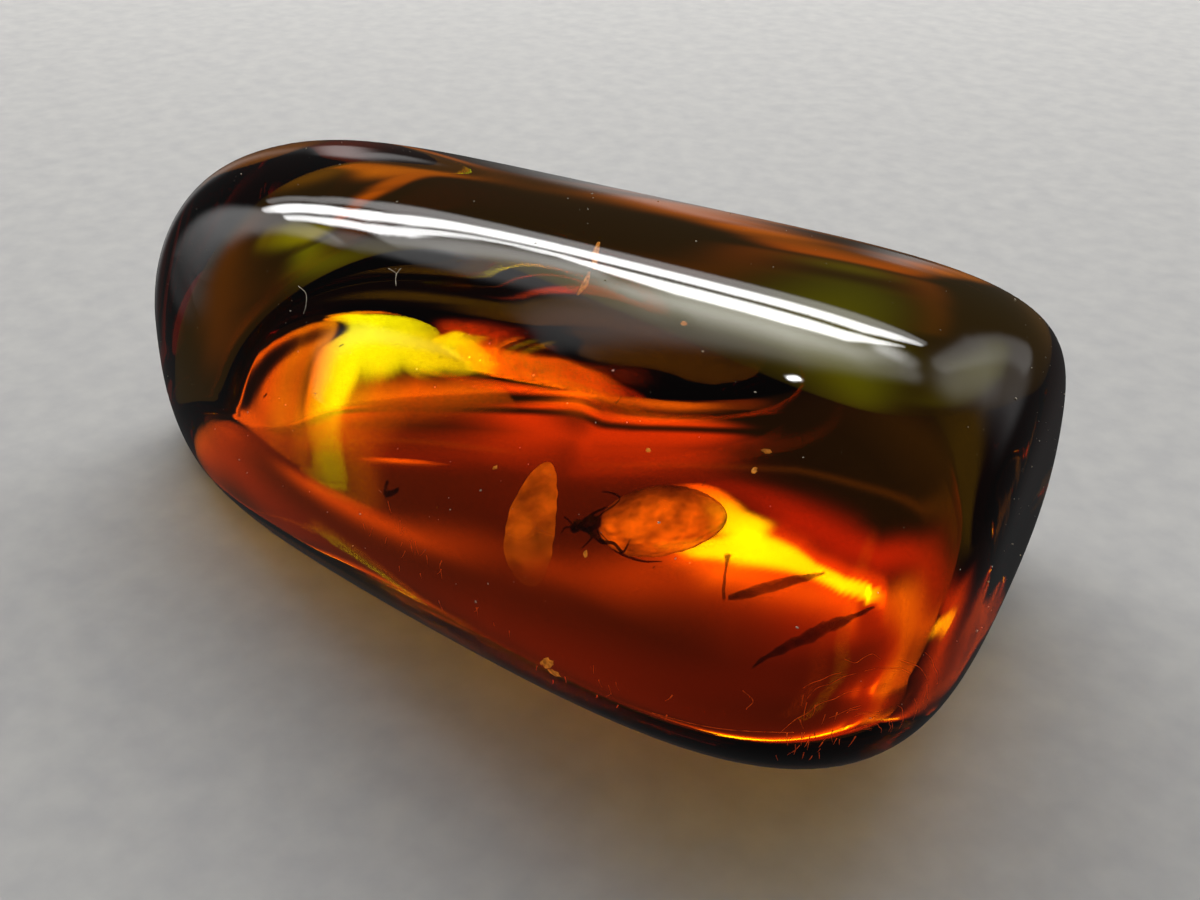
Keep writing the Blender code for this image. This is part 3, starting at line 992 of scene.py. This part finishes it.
# Patches of hair cracks: the surface place in the middle, the spread along and up the side, the number of
# threads, and their length.
CRACK_PATCHES = (
    ((3.2, -10.8, 5.6), 2.4, 1.1, 22, 0.30),
    ((16.2, -9.4, 5.3), 1.6, 1.1, 26, 0.40),
    ((10.5, -11.0, 4.9), 3.6, 1.0, 14, 0.26),
)
CRACK_DEPTH = 0.12
# Short nested arcs like ripples round one place at the broad end.
RIPPLE_CENTRE = (16.9, -8.7, 4.7)
RIPPLE_COUNT = 26
RIPPLE_DEPTH = 0.2
SCRATCHES = (
    ((12.29, -10.87, 4.61), (14.10, -10.60, 4.95), (16.00, -9.85, 5.45)),
    ((14.50, -10.20, 6.40), (14.80, -10.15, 6.20), (14.70, -10.25, 5.90)),
)
SCRATCH_DEPTH = 0.08
SCRATCH_RADIUS = 0.010


def add_threads(bm, dice):
    """Short bent threads in their patches."""
    for place, along, up, count, length in CRACK_PATCHES:
        for _ in range(count):
            start = Vector(place) + Vector((dice.gauss(0, along / 2), 0, dice.gauss(0, up / 2)))
            lean = dice.uniform(-0.6, 0.6)
            bend = dice.uniform(-0.4, 0.4)
            reach = length * dice.uniform(0.4, 1.3)
            radius = dice.uniform(0.008, 0.018)
            points = []
            for step in (0, 0.5, 1):
                shift = Vector((lean * step + bend * step * step, 0, -step)) * reach
                points.append(under_surface(start + shift, CRACK_DEPTH, radius * (1.2 - step)))
            sweep(bm, points, steps=4, sides=5)


def add_ripples(bm, dice):
    """Short pieces of nested arcs, each slightly out of round."""
    for _ in range(RIPPLE_COUNT):
        size = dice.uniform(0.5, 2.9)
        first = dice.uniform(0.0, 0.36)
        last = first + dice.uniform(0.04, 0.12)
        points = []
        for step in range(5):
            turn = math.tau * (first + (last - first) * step / 4)
            wobble = 1 + dice.uniform(-0.03, 0.03)
            place = Vector(RIPPLE_CENTRE)
            place += Vector((0.55, 0.8, 0)) * size * wobble * math.cos(turn)
            place += Vector((0, 0.15, 1)) * size * 1.1 * wobble * math.sin(turn)
            points.append(under_surface(place, RIPPLE_DEPTH, 0.009 - 0.003 * abs(step - 2)))
        sweep(bm, points, steps=5, sides=5)


def make_cracks():
    """Hair cracks just under the polish, made bright by painted glints."""
    dice = random.Random(23)
    bm = bmesh.new()
    add_threads(bm, dice)
    add_ripples(bm, dice)
    for scratch in SCRATCHES:
        points = [under_surface(place, SCRATCH_DEPTH, SCRATCH_RADIUS) for place in scratch]
        sweep(bm, points, steps=8, sides=5)
    finish_piece("hair_cracks_and_glints", bm, crack_glint_material())


# ---------------------------------------------------------------- materials of the inclusions, some with painted glow
BUMP_HEIGHT = 0.00003
# The resin that grips a skin has nearly the same IOR, so little light glances off it.
SKIN_SPECULAR = 0.1
# Where the abdomen's painted glow grows from its far side to its near side, in metres: its weaker far side is
# painted shade.
FAR_SIDE_Y = -0.0009
NEAR_SIDE_Y = 0.0006


def paint_glow(tree, shader, place, grain, painted_glow, far_glow_share):
    """Painted glow: emission that stands in for light filling a thin skin from behind, mottled by its grain.
    """
    tint, strength = painted_glow
    shader.inputs["Emission Color"].default_value = (*tint, 1.0)
    glow = range_node(tree, grain, (0.35, 0.65), (strength * 0.25, strength))
    # Painted shade: a domed skin glows less on its far side and towards its rim.
    if far_glow_share is not None:
        across = coordinate(tree, place.outputs["Object"], "Y")
        shade = range_node(tree, across, (FAR_SIDE_Y, NEAR_SIDE_Y), (far_glow_share, 1.0), "SMOOTHSTEP")
        level = math_node(tree, "ABSOLUTE", coordinate(tree, place.outputs["Normal"], "Z"))
        painted_rim_shade = range_node(tree, level, (0.65, 0.98), (0.0, 1.0), "SMOOTHSTEP")
        glow = math_node(tree, "MULTIPLY", glow, shade)
        glow = math_node(tree, "MULTIPLY", glow, painted_rim_shade)
    tree.links.new(glow, shader.inputs["Emission Strength"])


def open_up(tree, shader, place, grain, clear, fade):
    """Lets the amber behind a skin show through it, unevenly, and more or less at its rim."""
    middle, rim = clear
    edge = tree.nodes.new("ShaderNodeLayerWeight")
    edge.inputs["Blend"].default_value = 0.35
    cover = range_node(tree, edge.outputs["Facing"], (0.0, 1.0), (1 - middle, 1 - rim))
    lower = math_node(tree, "SUBTRACT", cover, 0.25)
    cover = math_node(tree, "MULTIPLY_ADD", grain, 0.5, lower)
    cover.node.use_clamp = True
    if fade:
        along = coordinate(tree, place.outputs["Object"], "X")
        thin = range_node(tree, along, fade, (1.0, 0.05), "SMOOTHSTEP")
        cover = math_node(tree, "MULTIPLY", cover, thin)
    tree.links.new(cover, shader.inputs["Alpha"])


def speckled(name, colours, scale, roughness, bump, clear=None, fade=None, painted_glow=None, far_glow_share=None):
    """A mottled skin between a dark colour and a light one.

    clear gives its openness at the middle and at the rim. fade gives the two X places in metres between which
    the skin thins away. painted_glow gives the colour and strength of painted glow: emission that stands in
    for light filling the skin from behind. far_glow_share gives the share of that painted glow on the far
    side of a domed skin, whose glow is also darkened towards its rim: painted shade.
    """
    made, tree, shader = new_material(name)
    dark, light = colours
    place = tree.nodes.new("ShaderNodeTexCoord")
    grain = grain_node(tree, place, scale, 5.0)
    two_colours(tree, shader, grain, dark, light, 0.35, 0.68)
    shader.inputs["Roughness"].default_value = roughness
    shader.inputs["Specular IOR Level"].default_value = SKIN_SPECULAR
    lumps = tree.nodes.new("ShaderNodeBump")
    lumps.inputs["Strength"].default_value = bump
    lumps.inputs["Distance"].default_value = BUMP_HEIGHT
    tree.links.new(grain, lumps.inputs["Height"])
    tree.links.new(lumps.outputs["Normal"], shader.inputs["Normal"])
    if painted_glow:
        paint_glow(tree, shader, place, grain, painted_glow, far_glow_share)
    if clear:
        open_up(tree, shader, place, grain, clear, fade)
    return made


def wing_case_material():
    colours = ((0.12, 0.01, 0.002), (0.50, 0.07, 0.005))
    # The abdomen's emission is painted glow, weakened on its far side and at its rim as painted shade.
    painted_glow = ((1.0, 0.16, 0.005), 2.5)
    return speckled("wing_case", colours, 1400, 0.4, 0.6, clear=(0.6, 0.1), painted_glow=painted_glow, far_glow_share=0.12)


def chitin_material():
    colours = ((0.05, 0.010, 0.003), (0.22, 0.05, 0.012))
    return speckled("chitin", colours, 4000, 0.35, 0.5, clear=(0.25, 0.5))


def flake_material():
    colours = ((0.75, 0.20, 0.02), (0.95, 0.32, 0.04))
    fade = (-0.0008, 0.0020)
    # Painted glow: emission that stands in for light through the flake.
    painted_glow = ((1.0, 0.20, 0.01), 0.5)
    return speckled("flake_skin_detail", colours, 1200, 0.5, 0.4, clear=(0.35, 0.3), fade=fade, painted_glow=painted_glow)


def leg_material():
    colours = ((0.04, 0.008, 0.003), (0.20, 0.04, 0.012))
    return speckled("leg_shell_detail", colours, 3000, 0.4, 0.5, clear=(0.40, 0.95))


def bark_material():
    colours = ((0.02, 0.006, 0.003), (0.12, 0.03, 0.012))
    return speckled("bark_detail", colours, 3500, 0.8, 0.8, clear=(0.35, 0.95))


def dust_material():
    colours = ((0.40, 0.35, 0.26), (0.80, 0.74, 0.62))
    return speckled("dust", colours, 9000, 0.9, 0.3)


def fleck_material():
    colours = ((0.50, 0.22, 0.06), (0.95, 0.60, 0.22))
    # Painted glow: emission that stands in for light through the flecks.
    painted_glow = ((1.0, 0.35, 0.04), 0.45)
    return speckled("fleck", colours, 5000, 0.5, 0.5, clear=(0.3, 0.5), painted_glow=painted_glow)


def crack_glint_material():
    # Bright red and painted glow stand in for light glancing off the cracks: painted glints.
    colours = ((0.75, 0.06, 0.005), (1.0, 0.22, 0.02))
    painted_glow = ((1.0, 0.10, 0.01), 0.4)
    return speckled("crack", colours, 6000, 0.3, 0.3, painted_glow=painted_glow)


make_insect()
make_flake()
limb_piece("loose_leg_joints", (SHIN, THIGH), leg_material(), "loose_leg", LEG_ROUGHNESS)
limb_piece("splinter_fibres", (SPLINTER,), bark_material(), "splinter", BARK_ROUGHNESS)
limb_piece("bark_speck_grain", (SPECK,), bark_material(), "bark_speck", BARK_ROUGHNESS)
make_dust()
make_flecks()
make_cracks()


# ---------------------------------------------------------------- camera
# Angles in degrees; the target, the distance and the lens in millimetres.
CAMERA_AZIMUTH = 40.475
CAMERA_ELEVATION = 30.854
CAMERA_ROLL = 0.582
CAMERA_TARGET = (4.252, -3.633, 6.25)
CAMERA_DISTANCE = 45.101
CAMERA_LENS = 42
CAMERA_SENSOR_WIDTH = 36


def make_camera():
    az = math.radians(CAMERA_AZIMUTH)
    el = math.radians(CAMERA_ELEVATION)
    roll = math.radians(CAMERA_ROLL)
    back = Vector((math.sin(az) * math.cos(el), -math.cos(az) * math.cos(el), math.sin(el)))
    level = (-back).cross(Vector((0, 0, 1))).normalized()
    upright = level.cross(-back)
    right = level * math.cos(roll) + upright * math.sin(roll)
    up = upright * math.cos(roll) - level * math.sin(roll)
    data = bpy.data.cameras.new("camera")
    data.lens = CAMERA_LENS
    data.sensor_width = CAMERA_SENSOR_WIDTH
    data.clip_start = 0.001
    obj = link(bpy.data.objects.new("camera", data))
    turn = Matrix((right, up, back)).transposed().to_4x4()
    place = (Vector(CAMERA_TARGET) + back * CAMERA_DISTANCE) * MM
    obj.matrix_world = Matrix.Translation(place) @ turn
    bpy.context.scene.camera = obj


make_camera()


# ---------------------------------------------------------------- room light
ROOM_STRENGTH = 0.22


def make_world():
    """An even grey room, which lights the floor but sends nothing through the amber."""
    world = bpy.data.worlds.new("world")
    world.use_nodes = True
    tree = world.node_tree
    path = tree.nodes.new("ShaderNodeLightPath")
    open_air = math_node(tree, "SUBTRACT", 1.0, path.outputs["Is Transmission Ray"])
    strength = math_node(tree, "MULTIPLY", open_air, ROOM_STRENGTH)
    tree.links.new(strength, tree.nodes["Background"].inputs["Strength"])
    tree.nodes["Background"].inputs["Color"].default_value = (1.0, 1.0, 1.0, 1.0)
    bpy.context.scene.world = world


make_world()

# Light turns many corners inside the amber before it leaves.
bpy.context.scene.cycles.max_bounces = 20
bpy.context.scene.cycles.glossy_bounces = 14
bpy.context.scene.cycles.transmission_bounces = 14
bpy.context.scene.view_settings.view_transform = "Standard"
